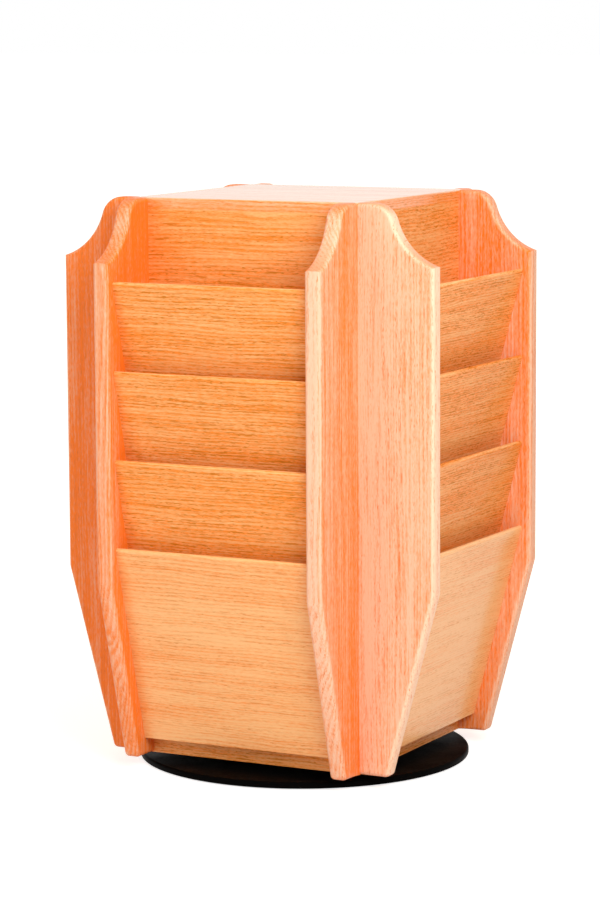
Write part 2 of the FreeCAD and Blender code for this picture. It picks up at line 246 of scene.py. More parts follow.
class OakGrain:
    """The shared group that draws oak in a block whose third axis runs along the grain."""

    NAME = "oak_grain"
    INPUTS = {"Vector": ("Point", "Facing", "Seed", "Pith", "Lean"),
              "Float": ("Ring", "Waver", "Band", "Fleck", "Drift", "Edging", "Pores", "Roughness",
                        "Richness"),
              "Color": ("Light", "Dark", "Pore")}
    OUTPUTS = {"Color": ("Color",), "Float": ("Roughness", "Height")}

    # Noises, whose axes run across the face, through it and along the grain.
    SWAY = Noise((9.0, 9.0, 4.0), 3.0, 0.6)
    YEARS = Noise((40.0, 40.0, 2.2))
    SHORT_PORES = Noise((1200.0, 1200.0, 170.0), 1.0, 0.4)
    LONG_PORES = Noise((850.0, 850.0, 55.0))
    CLOUD = Noise((110.0, 110.0, 7.0), 3.0, 0.6)
    FIBRE = Noise((300.0, 300.0, 7.0), 3.0, 0.6)
    FLECK = Noise((800.0, 800.0, 150.0), 2.0, 0.6)
    DRIFT = Noise((30.0, 30.0, 1.6))

    # Ranges, each with what its ends become where that isn't 0 and 1.
    RING_START = (0.0, 0.2)
    RING_END = (0.3, 0.85, 1.0, 0.0)
    SHORT_CUT = (0.54, 0.70)
    LONG_CUT = (0.51, 0.67, 0.0, 0.75)
    GATHERING = (0.34, 0.62, 0.35, 1.15)
    EDGE = (0.1, 0.6)
    END_GRAIN = (0.45, 0.98)
    # Where the painted sheen on the edges weakens on rising and sloping faces.
    PALE_SIDES = (0.25, 0.8, 1.0, 0.15)

    MIDDLE = (0.5, 0.5, 0.5)    # of a noise of three numbers
    ACROSS = (1.0, 1.0, 0.0)    # leaves what lies across the grain
    YEARS_REACH = 4.4           # in rings
    LATE_PORES = 0.35           # pores in the late wood, for 1 in the early wood
    EDGE_RINGS = 0.8            # what edges and end grain add to the strength of the rings
    END_RINGS = -0.7
    FIBRE_REACH = 0.24          # in shares of the dark colour, as the three below
    CLOUD_REACH = 0.16
    # A painted sheen: edges take less of the dark colour than faces, and upright edges are mixed towards
    # a pale colour.
    FACE_SHARE = 0.2
    EDGE_SHARE = -0.40
    PALE_LOSS = -0.8            # what a full richness takes from the painted sheen of the edges
    PALE = (0.98, 0.76, 0.56)
    END_SHADE = 0.5             # how much of a colour between dark and pore end grain takes on
    PORE_ROUGHNESS = 0.2
    FIBRE_ROUGHNESS = 0.08
    FLECK_HEIGHT = 0.4          # for a depth of 1 in the pores

    def __init__(self) -> None:
        """Starts the group with its sockets."""
        self.tree = bpy.data.node_groups.new(self.NAME, "ShaderNodeTree")
        self.graph = Graph(self.tree)
        for way, kinds in (("INPUT", self.INPUTS), ("OUTPUT", self.OUTPUTS)):
            for kind, labels in kinds.items():
                for label in labels:
                    self.tree.interface.new_socket(label, in_out=way, socket_type=f"NodeSocket{kind}")
        self.given = self.graph.put("NodeGroupInput").outputs
        self.seeded = self.graph.vector("ADD", self.given["Point"], self.given["Seed"])

    @classmethod
    def group(cls) -> bpy.types.NodeTree:
        """The group, made on the first call."""
        return bpy.data.node_groups.get(cls.NAME) or cls()._draw()

    def _early_wood(self) -> Socket:
        """The growth rings round a heart beside the block, which wavers slowly along the grain.

        Returns:
            1 in the early wood of each ring and 0 in the late wood.
        """
        graph, given = self.graph, self.given
        shift = graph.vector("SUBTRACT", graph.noise(self.seeded, self.SWAY, "Color"), self.MIDDLE)
        shift = graph.put("ShaderNodeVectorMath", {0: shift, "Scale": given["Waver"]}, operation="SCALE")
        swayed = graph.vector("ADD", given["Point"], shift.outputs[0])
        radial = graph.vector("MULTIPLY", graph.vector("SUBTRACT", swayed, given["Pith"]), self.ACROSS)
        years = graph.maths("DIVIDE", graph.vector("LENGTH", radial), given["Ring"])
        uneven = graph.noise(self.seeded, self.YEARS)
        phase = graph.maths("FRACT", graph.maths("MULTIPLY_ADD", uneven, self.YEARS_REACH, years))
        return graph.maths("MULTIPLY", graph.spread(phase, *self.RING_START),
                           graph.spread(phase, *self.RING_END))

    def _pores(self, early: Socket, cloud: Socket) -> Socket:
        """Short dark dashes along the grain, most of them in the early wood.

        Args:
            early: Where the early wood is.
            cloud: Noise that gathers them in drifts.

        Returns:
            How much of a pore there is.
        """
        graph = self.graph
        short = graph.spread(graph.noise(self.seeded, self.SHORT_PORES), *self.SHORT_CUT)
        long = graph.spread(graph.noise(self.seeded, self.LONG_PORES), *self.LONG_CUT)
        crowd = graph.maths("MULTIPLY_ADD", early, 1.0 - self.LATE_PORES, self.LATE_PORES)
        pores = graph.maths("MULTIPLY", graph.maths("MAXIMUM", short, long), crowd)
        pores = graph.maths("MULTIPLY", pores, graph.spread(cloud, *self.GATHERING))
        return graph.maths("MULTIPLY", pores, self.given["Pores"], clamp=True)

    def _draw(self) -> bpy.types.NodeTree:
        """Draws the whole group.

        Returns:
            The group.
        """
        graph, given = self.graph, self.given
        early = self._early_wood()
        cloud, fibre, fleck, drift = (graph.noise(self.seeded, kind) for kind in
                                      (self.CLOUD, self.FIBRE, self.FLECK, self.DRIFT))
        pores = self._pores(early, cloud)

        # 1 on the narrow edges, and 1 on end grain.
        normal = graph.put("ShaderNodeSeparateXYZ", {0: given["Facing"]}).outputs
        rise = graph.maths("ABSOLUTE", normal[2])
        edge = graph.spread(graph.maths("ABSOLUTE", normal[0]), *self.EDGE)
        end = graph.spread(rise, *self.END_GRAIN)

        # The share of the dark colour: rings, fibres, clouds, flecks, a slow drift of tone, and a
        # painted shade that grows along the piece's axes.
        strength = graph.maths("MULTIPLY_ADD", edge, self.EDGE_RINGS,
                               graph.maths("MULTIPLY_ADD", end, self.END_RINGS, 1.0))
        band = graph.maths("MULTIPLY", given["Band"], strength)
        lean = graph.vector("DOT_PRODUCT", given["Point"], given["Lean"])
        share = graph.maths("MULTIPLY_ADD", early, band, graph.maths("ADD", given["Richness"], lean))
        for noise, reach in ((fibre, self.FIBRE_REACH), (cloud, self.CLOUD_REACH),
                             (fleck, given["Fleck"]), (drift, given["Drift"])):
            even = graph.spread(noise, *NOISE_RANGE, -1.0, 1.0, smooth=False)
            share = graph.maths("MULTIPLY_ADD", even, reach, share)
        # Edges take less of the dark colour than faces: a painted sheen.
        base = graph.maths("MULTIPLY_ADD", edge, self.EDGE_SHARE, self.FACE_SHARE)
        share = graph.maths("ADD", share, base, clamp=True)
        wood = graph.blend(share, given["Light"], given["Dark"])

        # Upright edges are paler, a painted sheen that is strongest on pale pieces, and end grain is
        # darker.
        pale = graph.maths("MULTIPLY_ADD", given["Richness"], self.PALE_LOSS, given["Edging"])
        pale = graph.maths("MULTIPLY", pale, graph.spread(rise, *self.PALE_SIDES))
        wood = graph.blend(graph.maths("MULTIPLY", edge, pale, clamp=True), wood, rgba(self.PALE))
        wood = graph.blend(pores, wood, given["Pore"])
        wood = graph.blend(graph.maths("MULTIPLY", end, self.END_SHADE), wood,
                           graph.blend(0.5, given["Dark"], given["Pore"]))

        rough = graph.maths("MULTIPLY_ADD", pores, self.PORE_ROUGHNESS, given["Roughness"])
        rough = graph.maths("MULTIPLY_ADD", fibre, self.FIBRE_ROUGHNESS, rough)
        height = graph.maths("MULTIPLY_ADD", pores, -1.0,
                             graph.maths("MULTIPLY", fleck, self.FLECK_HEIGHT))
        graph.put("NodeGroupOutput", {"Color": wood, "Roughness": rough, "Height": height})
        return self.tree


@dataclass(frozen=True)
class OakFinish:
    """Lacquered oak, with growth rings, open pores, paler edges that are a painted sheen, and darker end
    grain.
    """

    slot: str
    light: Colour
    dark: Colour
    pore: Colour
    ring: float                 # from one growth ring to the next
    pith: Point2                # the heart's place across and through, from the piece's middle
    waver: float                # how far the rings sway
    band: float                 # shares of the dark colour in the rings, the flecks and the drift
    fleck: float
    drift: float
    pores: float
    roughness: float
    coat: float
    edging: float = 0.0         # how pale the upright edges are: a painted sheen

    TONES = (0.97, 1.03)
    TIMBER = 4.0                # how far apart pieces may be cut
    HEART_SHIFT = 0.05
    SIDE = (0.69, 0.71)         # part of the normal at which an edge band starts and is full
    BAND_PORES = 0.8
    BAND_RICHNESS = 0.46
    SPECULAR = 0.18
    COAT_ROUGHNESS = 0.2
    BUMP = {"Strength": 0.25, "Distance": 0.4 * MM}

    def dress(self, name: str, grain: Grain, seed: int, richness: float = 0.0,
              lean: Triple = EVEN, banded: bool = False) -> bpy.types.Material:
        """Makes the oak of one piece.

        Args:
            name: The piece's name.
            grain: How the piece's grain runs.
            seed: Which part of the timber the piece is cut from.
            richness: How much more of the dark colour the piece has than its fellows.
            lean: A painted shade: how the richness grows across, through and along the piece, per metre.
            banded: Whether a richer band is glued round the edges of a level board.

        Returns:
            The piece's own material.
        """
        choice = random.Random(seed)
        tone = choice.uniform(*self.TONES)
        away = tuple(choice.uniform(-self.TIMBER, self.TIMBER) for _ in range(3))
        heart = (self.pith[0] + choice.uniform(-self.HEART_SHIFT, self.HEART_SHIFT), self.pith[1], 0.0)
        material, graph = new_material(f"{self.slot}_{name}")
        coordinates = graph.put("ShaderNodeTexCoord").outputs
        low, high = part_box(name)
        centred = graph.vector("SUBTRACT", coordinates["Object"], tuple((low + high) / 2))
        values = {
            "Point": self._turned(graph, centred, grain),
            "Facing": self._turned(graph, coordinates["Normal"], grain),
            "Seed": away, "Pith": heart, "Ring": self.ring, "Waver": self.waver, "Band": self.band,
            "Fleck": self.fleck, "Drift": self.drift, "Edging": self.edging, "Pores": self.pores,
            "Light": rgba(self.light, tone), "Dark": rgba(self.dark, tone),
            "Pore": rgba(self.pore, tone), "Roughness": self.roughness, "Richness": richness,
            "Lean": lean}
        if banded:
            self._add_band(graph, centred, coordinates["Normal"], values)
        oak = graph.put("ShaderNodeGroup", values, node_tree=OakGrain.group()).outputs
        bump = graph.put("ShaderNodeBump", {"Height": oak["Height"], **self.BUMP})
        shader = graph.put("ShaderNodeBsdfPrincipled", {
            "Base Color": oak["Color"], "Roughness": oak["Roughness"],
            "Normal": bump.outputs["Normal"], "Specular IOR Level": self.SPECULAR,
            "Coat Weight": self.coat, "Coat Roughness": self.COAT_ROUGHNESS})
        graph.put("ShaderNodeOutputMaterial", {"Surface": shader.outputs["BSDF"]})
        return material

    def _add_band(self, graph: Graph, centred: Socket, normal: Socket, values: dict[str, Any]) -> None:
        """Turns the grain along the edges of a level board and makes it richer there.

        Args:
            graph: The material's graph.
            centred: The place from the board's middle.
            normal: The surface's direction.
            values: The inputs of the oak group, which are changed.
        """
        parts = graph.put("ShaderNodeSeparateXYZ", {0: normal}).outputs
        sides = []
        for part, way in ((parts[0], Grain.LEVEL_FACING_X), (parts[1], Grain.LEVEL_FACING_Y)):
            side = graph.spread(graph.maths("ABSOLUTE", part), *self.SIDE)
            values["Point"] = graph.blend(side, values["Point"], self._turned(graph, centred, way))
            values["Facing"] = graph.blend(side, values["Facing"], self._turned(graph, normal, way))
            sides.append(side)
        side = graph.maths("MAXIMUM", *sides)
        values["Pores"] = graph.maths("MULTIPLY_ADD", side, self.BAND_PORES, values["Pores"])
        values["Richness"] = graph.maths("MULTIPLY_ADD", side, self.BAND_RICHNESS, values["Richness"])

    @staticmethod
    def _turned(graph: Graph, vector: Socket, grain: Grain) -> Socket:
        """The vector with its parts in the order across, through and along.

        Args:
            graph: The material's graph.
            vector: A vector on the piece's own axes.
            grain: How the piece's grain runs.

        Returns:
            The turned vector.
        """
        parts = graph.put("ShaderNodeSeparateXYZ", {0: vector}).outputs
        joined = graph.put("ShaderNodeCombineXYZ",
                           {i: parts[axis] for i, axis in enumerate(grain.value)})
        return joined.outputs[0]


@dataclass(frozen=True)
class PlainFinish:
    """A black, rubber or metal finish with fine marks of its own."""

    slot: str
    colour: Colour
    mottled: Colour
    cells: float                # cells of its clouds, per metre
    roughness: tuple[float, float]
    metallic: float = 0.0
    specular: float = 0.5
    bump: float = 0.0

    SPECKS = 14.0               # specks to a cloud, along each axis
    SPECK_SHARE = 0.4
    BUMP_DISTANCE = 0.2 * MM

    def dress(self, name: str) -> bpy.types.Material:
        """Makes the finish for one piece.

        Args:
            name: The piece's name.

        Returns:
            The piece's own material.
        """
        material, graph = new_material(f"{self.slot}_{name}")
        point = graph.put("ShaderNodeTexCoord").outputs["Object"]
        cloud = graph.noise(point, Noise((self.cells,) * 3, 4.0, 0.6))
        speck = graph.noise(point, Noise((self.cells * self.SPECKS,) * 3))
        share = graph.maths("MULTIPLY_ADD", speck, self.SPECK_SHARE,
                            graph.maths("MULTIPLY", cloud, 1.0 - self.SPECK_SHARE))
        inputs = {
            "Base Color": graph.blend(share, rgba(self.colour), rgba(self.mottled)),
            "Roughness": graph.spread(share, *NOISE_RANGE, *self.roughness),
            "Metallic": self.metallic, "Specular IOR Level": self.specular}
        if self.bump:
            bump = graph.put("ShaderNodeBump", {"Height": speck, "Strength": self.bump,
                                                "Distance": self.BUMP_DISTANCE})
            inputs["Normal"] = bump.outputs["Normal"]
        shader = graph.put("ShaderNodeBsdfPrincipled", inputs)
        graph.put("ShaderNodeOutputMaterial", {"Surface": shader.outputs["BSDF"]})
        return material


# The solid oak's upright edges carry a painted sheen.
SOLID_OAK = OakFinish("solid_oak", light=(0.90, 0.53, 0.36), dark=(0.94, 0.215, 0.018),
                      pore=(0.74, 0.18, 0.035), ring=0.0036, pith=(0.18, 0.12), waver=0.008,
                      band=0.24, fleck=0.30, drift=0.22, pores=0.8, roughness=0.42, coat=0.18,
                      edging=0.55)
OAK_VENEER = OakFinish("oak_veneer", light=(0.94, 0.53, 0.225), dark=(0.91, 0.27, 0.032),
                       pore=(0.62, 0.19, 0.012), ring=0.0028, pith=(0.42, 0.20), waver=0.012,
                       band=0.26, fleck=0.26, drift=0.16, pores=0.62, roughness=0.42, coat=0.12)
SATIN_VENEER = replace(OAK_VENEER, coat=0.5)
OPEN_VENEER = replace(OAK_VENEER, band=0.30, fleck=0.3, pores=1.5)
POLISHED_VENEER = replace(OAK_VENEER, light=(0.90, 0.56, 0.32), pores=0.45, roughness=0.3, coat=1.0)
PLYWOOD = OakFinish("plywood", light=(0.86, 0.42, 0.14), dark=(0.72, 0.28, 0.06),
                    pore=(0.40, 0.13, 0.02), ring=0.005, pith=(0.3, 0.12), waver=0.02,
                    band=0.5, fleck=0.2, drift=0.3, pores=0.4, roughness=0.5, coat=0.0)
BLACK_GLOSS = PlainFinish("black_gloss", (0.0006, 0.0012, 0.0010), (0.003, 0.0022, 0.0024), 30.0,
                          (0.32, 0.50), specular=0.008)
PAD_RUBBER = PlainFinish("pad_rubber", (0.02, 0.02, 0.02), (0.05, 0.05, 0.048), 160.0,
                         (0.7, 0.9), bump=0.4)
ZINC_STEEL = PlainFinish("zinc_steel", (0.62, 0.62, 0.60), (0.74, 0.73, 0.68), 60.0,
                         (0.22, 0.42), metallic=1.0, bump=0.1)
BALL_STEEL = PlainFinish("ball_steel", (0.66, 0.66, 0.68), (0.76, 0.76, 0.78), 90.0,
                         (0.06, 0.16), metallic=1.0)


# ---- meshes ----

def finish_mesh(name: str, shape: Shape, crease: float = CREASE) -> Piece:
    """Turns a shape into an object with its sharp edges marked and its faces outward.

    Args:
        name: The object's name.
        shape: The finished shape, which is freed.
        crease: Two faces that meet at more than this angle keep a sharp edge between them.

    Returns:
        The object, in the scene and at the origin.
    """
    bmesh.ops.recalc_face_normals(shape, faces=shape.faces)
    for face in shape.faces:
        face.smooth = True
    for edge in shape.edges:
        edge.smooth = len(edge.link_faces) == 2 and edge.calc_face_angle(0.0) < crease
    mesh = bpy.data.meshes.new(name)
    shape.to_mesh(mesh)
    shape.free()
    piece = bpy.data.objects.new(name, mesh)
    bpy.context.scene.collection.objects.link(piece)
    return piece


def skin(rings: Sequence[Sequence[Triple]], capped: bool = False, closed: bool = False) -> Shape:
    """A skin over rings of corners, from each ring to the next.

    Args:
        rings: The corners of each ring, all in one order; a ring of one corner is a point.
        capped: Whether the first and the last ring are filled.
        closed: Whether the last ring joins the first.

    Returns:
        The shape.
    """
    shape = bmesh.new()
    knots = [[shape.verts.new(corner) for corner in ring] for ring in rings]
    count = max(len(ring) for ring in knots)
    for lower, upper in zip(knots, knots[1:] + (knots[:1] if closed else [])):
        for i in range(count):
            j = (i + 1) % count
            corners = dict.fromkeys((lower[i % len(lower)], lower[j % len(lower)],
                                     upper[j % len(upper)], upper[i % len(upper)]))
            if len(corners) > 2:
                shape.faces.new(list(corners))
    if capped:
        shape.faces.new(knots[0])
        shape.faces.new(knots[-1])
    return shape


def lathe(name: str, outline: Sequence[Point2], segments: int, closed: bool = False) -> Piece:
    """A shape turned about Z.

    Args:
        name: The object's name.
        outline: Its section as (radius, height), from the axis back to the axis unless closed.
        segments: Steps round the axis.
        closed: Whether the section is a loop away from the axis.

    Returns:
        The object, in the scene and at the origin.
    """
    turns = [FULL_TURN * i / segments for i in range(segments)]
    rings = [[(radius * math.cos(turn), radius * math.sin(turn), height)
              for turn in (turns if radius else turns[:1])] for radius, height in outline]
    return finish_mesh(name, skin(rings, closed=closed))


def inset(outline: Sequence[Point2], eased: Sequence[bool], depth: float) -> list[Point2]:
    """An outline whose eased edges are moved inward.

    Args:
        outline: The corners, anticlockwise.
        eased: For each corner, whether the edge that starts there is moved.
        depth: How far the eased edges move.

    Returns:
        The corners of the smaller outline, in the same order.
    """
    lines = []
    for i, corner in enumerate(outline):
        start, end = Vector(corner), Vector(outline[(i + 1) % len(outline)])
        along = (end - start).normalized()
        inward = Vector((-along.y, along.x))
        lines.append((start + inward * (depth if eased[i] else 0.0), along, inward))
    corners = []
    for i, corner in enumerate(outline):
        (origin_a, along_a, inward_a), (origin_b, along_b, _) = lines[i - 1], lines[i]
        turn = along_a.cross(along_b)
        if abs(turn) < PARALLEL:
            corners.append(tuple(Vector(corner) + inward_a * (depth if eased[i] else 0.0)))
        else:
            reach = (origin_b - origin_a).cross(along_b) / turn
            corners.append(tuple(origin_a + along_a * reach))
    return corners


def rounded_slab(outline: Sequence[Point2], eased: Sequence[bool], thickness: float, radius: float,
                 steps: int = 6, margin: float = 0.4 * MM) -> Shape:
    """A board whose outline lies in the YZ plane and whose eased edges are rounded over.

    Args:
        outline: The corners as (y, z), anticlockwise.
        eased: For each corner, whether the edge that starts there is rounded.
        thickness: The board's thickness, from x = 0.
        radius: Radius of the rounded edges.
        steps: Facets in each quarter round.
        margin: Width of the flat strip inside each round, which keeps the face's shading flat.

    Returns:
        The board as a closed shape.
    """
    rise = [FULL_TURN / 4 * i / steps for i in range(steps + 1)]
    levels = [(0.0, radius + margin)]
    levels += [(radius * (1 - math.cos(t)), radius * (1 - math.sin(t))) for t in rise]
    levels += [(thickness - x, depth) for x, depth in reversed(levels)]
    return skin([[(x, y, z) for y, z in inset(outline, eased, depth)] for x, depth in levels],
                capped=True)


def drum(radius: float, low: float, high: float) -> list[Point2]:
    """The section of a plain cylinder, for the lathe."""
    return [(0.0, low), (radius, low), (radius, high), (0.0, high)]


def prism(outline: Sequence[Point2], start: float, end: float) -> Shape:
    """A plain prism along X over an outline in the YZ plane."""
    return skin([[(x, y, z) for y, z in outline] for x in (start, end)], capped=True)


def arc(centre: Point2, radius: float, start: float, end: float, steps: int) -> list[Point2]:
    """Points along an arc, both ends among them."""
    turns = (start + (end - start) * i / steps for i in range(steps + 1))
    return [(centre[0] + radius * math.cos(t), centre[1] + radius * math.sin(t)) for t in turns]


# ---- geometry nodes ----

class Recipe:
    """A Geometry Nodes tree with named inputs, which is run once and made a plain mesh."""

    SOCKETS = {float: "NodeSocketFloat", int: "NodeSocketInt", Vector: "NodeSocketVector",
               Piece: "NodeSocketObject", bpy.types.Material: "NodeSocketMaterial"}
    RING = {"Radius": float, "Level": Vector, "Start": Vector, "Count": int}

    def __init__(self, name: str, inputs: dict[str, type]) -> None:
        """Starts the tree.

        Args:
            name: The tree's name.
            inputs: The kind of each named input besides the geometry and the finish.
        """
        self.tree = bpy.data.node_groups.new(name, "GeometryNodeTree")
        self.graph = Graph(self.tree)
        new_socket = self.tree.interface.new_socket
        new_socket("Geometry", in_out="INPUT", socket_type="NodeSocketGeometry")
        kinds = {**inputs, "Finish": bpy.types.Material}
        self.sockets = {label: new_socket(label, in_out="INPUT", socket_type=self.SOCKETS[kind])
                        for label, kind in kinds.items()}
        new_socket("Geometry", in_out="OUTPUT", socket_type="NodeSocketGeometry")
        self.given = self.graph.put("NodeGroupInput").outputs

    def row(self) -> Socket:
        """As many points as Count says, each Pitch from the one before."""
        line = {"Count": self.given["Count"], "Offset": self.given["Pitch"]}
        return self.graph.put("GeometryNodeMeshLine", line).outputs["Mesh"]

    def ring(self) -> Socket:
        """Points on a circle about Z.

        Returns:
            As many points as Count says, raised to Level and turned by Start.
        """
        circle = self.graph.put("GeometryNodeMeshCircle", {"Vertices": self.given["Count"],
                                                           "Radius": self.given["Radius"]})
        placed = self.graph.put("GeometryNodeTransform", {"Geometry": circle.outputs["Mesh"],
                                                          "Translation": self.given["Level"],
                                                          "Rotation": self.given["Start"]})
        return placed.outputs["Geometry"]

    def copies(self, points: Socket) -> Socket:
        """The Model, repeated on points.

        Args:
            points: Where the copies stand.

        Returns:
            The copies as instances.
        """
        model = self.graph.put("GeometryNodeObjectInfo", {"Object": self.given["Model"]})
        placed = self.graph.put("GeometryNodeInstanceOnPoints", {"Points": points,
                                                                 "Instance": model.outputs["Geometry"]})
        return placed.outputs["Instances"]

    def cut(self, cutters: Socket) -> Socket:
        """Takes the cutters away from the given geometry.

        Args:
            cutters: The cutters.

        Returns:
            What is left.
        """
        left = self.graph.put("GeometryNodeMeshBoolean",
                              {"Mesh 1": self.given["Geometry"], "Mesh 2": cutters},
                              operation="DIFFERENCE", solver="EXACT")
        return left.outputs["Mesh"]

    def close(self, geometry: Socket) -> "Recipe":
        """Ends the tree in Realize Instances and Set Material.

        Args:
            geometry: What the tree has made.

        Returns:
            The recipe itself.
        """
        real = self.graph.put("GeometryNodeRealizeInstances", {"Geometry": geometry})
        painted = self.graph.put("GeometryNodeSetMaterial", {"Geometry": real.outputs["Geometry"],
                                                             "Material": self.given["Finish"]})
        self.graph.put("NodeGroupOutput", {"Geometry": painted.outputs["Geometry"]})
        return self

    def apply(self, name: str, base: Optional[Piece], values: dict[str, Any],
              crease: float = CREASE) -> Piece:
        """Runs the tree and keeps its result as a plain mesh.

        Args:
            name: The name of the piece.
            base: An object that the tree starts from, or None.
            values: A value for each named input. The base and the Model are used up.
            crease: Two faces that meet at more than this angle keep a sharp edge.

        Returns:
            The piece, in the scene and at the origin.
        """
        if base is None:
            base = bpy.data.objects.new(f"{name}_base", bpy.data.meshes.new(f"{name}_base"))
            bpy.context.scene.collection.objects.link(base)
        modifier = base.modifiers.new("recipe", "NODES")
        modifier.node_group = self.tree
        for label, value in values.items():
            modifier[self.sockets[label].identifier] = value
        graph = bpy.context.evaluated_depsgraph_get()
        made = bpy.data.meshes.new_from_object(base.evaluated_get(graph))
        bpy.data.objects.remove(base)
        bpy.data.objects.remove(values["Model"])
        shape = bmesh.new()
        shape.from_mesh(made)
        bmesh.ops.remove_doubles(shape, verts=shape.verts, dist=WELD)
        materials = list(made.materials)
        piece = finish_mesh(name, shape, crease)
        for material in materials:
            piece.data.materials.append(material)
        bpy.data.meshes.remove(made)
        return piece


def row_of_cuts() -> Recipe:
    """Cuts a row of like hollows: one model, repeated by a pitch."""
    recipe = Recipe("row_of_cuts", {"Model": Piece, "Pitch": Vector, "Count": int})
    return recipe.close(recipe.cut(recipe.copies(recipe.row())))


def ring_of_pieces() -> Recipe:
    """Sets like pieces round the axis: one model, repeated on a circle at one level."""
    recipe = Recipe("ring_of_pieces", {"Model": Piece, **Recipe.RING})
    return recipe.close(recipe.copies(recipe.ring()))


def ring_of_cuts() -> Recipe:
    """Cuts a ring of like hollows: one model, repeated on a circle at one level."""
    recipe = Recipe("ring_of_cuts", {"Model": Piece, **Recipe.RING})
    return recipe.close(recipe.cut(recipe.copies(recipe.ring())))


# ---- pieces ----

def report(piece: Piece, body: str) -> None:
    """Logs a piece and the body that it rides on."""
    LOG.info("%s rides on %s, %d faces", piece.name, body, len(piece.data.polygons))


def keep_node(name: str, material: bpy.types.Material, body: str) -> None:
    """Gives a solid of the frame its own finish.

    Args:
        name: The node's name.
        material: Its finish.
        body: The body that it belongs to.
    """
    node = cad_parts[name]
    node.data.materials.clear()
    node.data.materials.append(material)
    report(node, body)


def seat(piece: Piece, body: str, node: Optional[str] = None) -> None:
    """Sets a finished piece on its body.

    Args:
        piece: The piece.
        body: The body that it rides on.
        node: The solid of the frame that it stands for, where there is one.
    """
    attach(piece, body)
    if node:
        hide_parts(node)
    report(piece, body)


